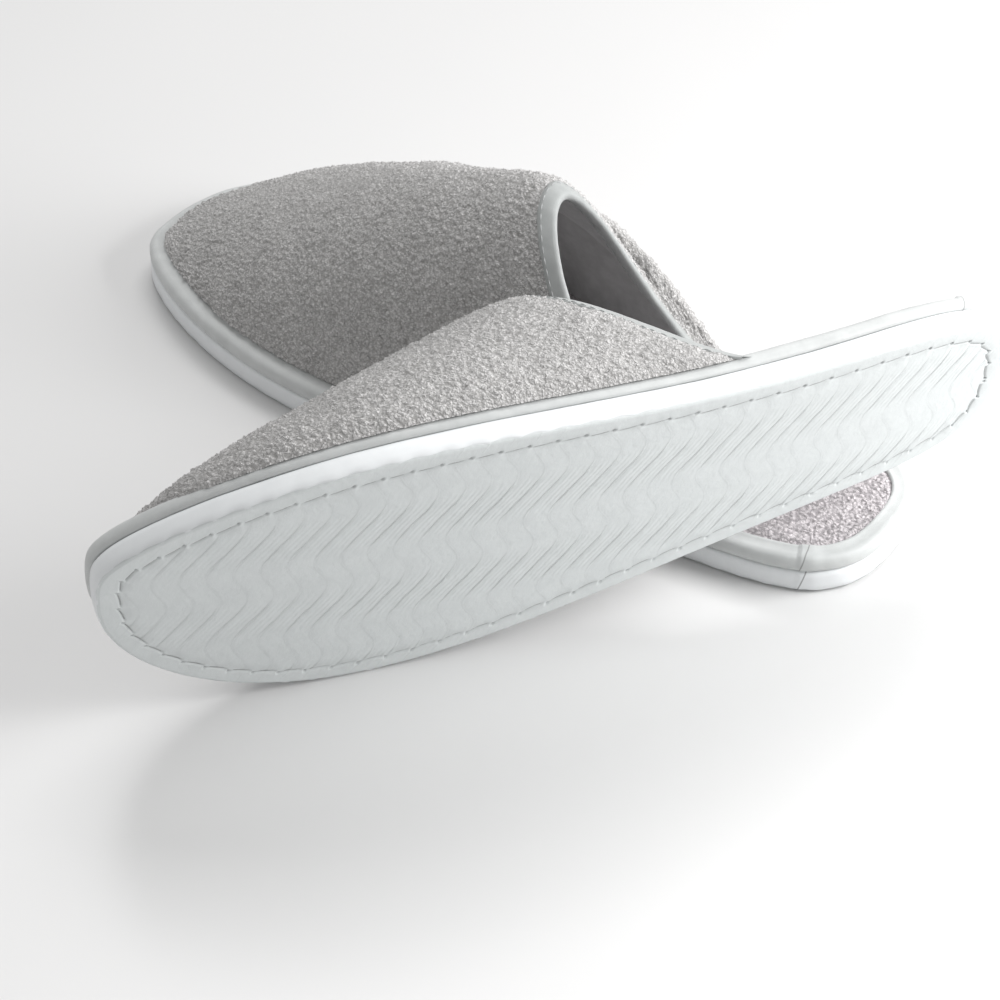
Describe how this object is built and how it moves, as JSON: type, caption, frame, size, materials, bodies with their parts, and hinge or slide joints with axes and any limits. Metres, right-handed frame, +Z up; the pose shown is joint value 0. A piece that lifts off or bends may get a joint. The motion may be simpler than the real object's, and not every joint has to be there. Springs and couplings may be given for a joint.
{
  "type": "spa slippers",
  "caption": "Closed-toe, backless towelling spa slippers with a foam sole: one lies flat, the other leans across it and lifts off.",
  "frame": {"origin": "on the table, at the middle of the flat slipper's underside", "axes": "+X along the flat slipper from heel to toe, +Z up from the table"},
  "size_m": [0.3, 0.2616, 0.1063],
  "materials": {
    "white_foam": "matt off-white foam rubber with a moulded wavy tread",
    "white_tape": "smooth white wrapping strip",
    "satin": "light grey satin binding tape, slight sheen",
    "terry": "grey looped towelling, deep pile",
    "lining": "smooth mid-grey lining cloth",
    "pale_foam": "soft open foam",
    "board": "stiffening foam board",
    "thread": "white polyester thread"
  },
  "bodies": {
    "flat_slipper": {"flat_outsole": "white_foam", "flat_sole_stitching": "thread", "flat_midsole_board": "board", "flat_side_wrap": "white_tape", "flat_edge_binding": "satin", "flat_insole_pad": "pale_foam", "flat_insole_cover": "terry", "flat_vamp_outer": "terry", "flat_vamp_foam": "pale_foam", "flat_vamp_lining": "lining", "flat_collar_binding": "satin"},
    "leaning_slipper": {"leaning_outsole": "white_foam", "leaning_sole_stitching": "thread", "leaning_midsole_board": "board", "leaning_side_wrap": "white_tape", "leaning_edge_binding": "satin", "leaning_insole_pad": "pale_foam", "leaning_insole_cover": "terry", "leaning_vamp_outer": "terry", "leaning_vamp_foam": "pale_foam", "leaning_vamp_lining": "lining", "leaning_collar_binding": "satin"}
  },
  "joints": [
    {"name": "leaning_slipper_lift", "type": "slide", "parent": "flat_slipper", "child": "leaning_slipper", "axis": [0, 0, 1], "range_m": [0, 0.2]}
  ]
}
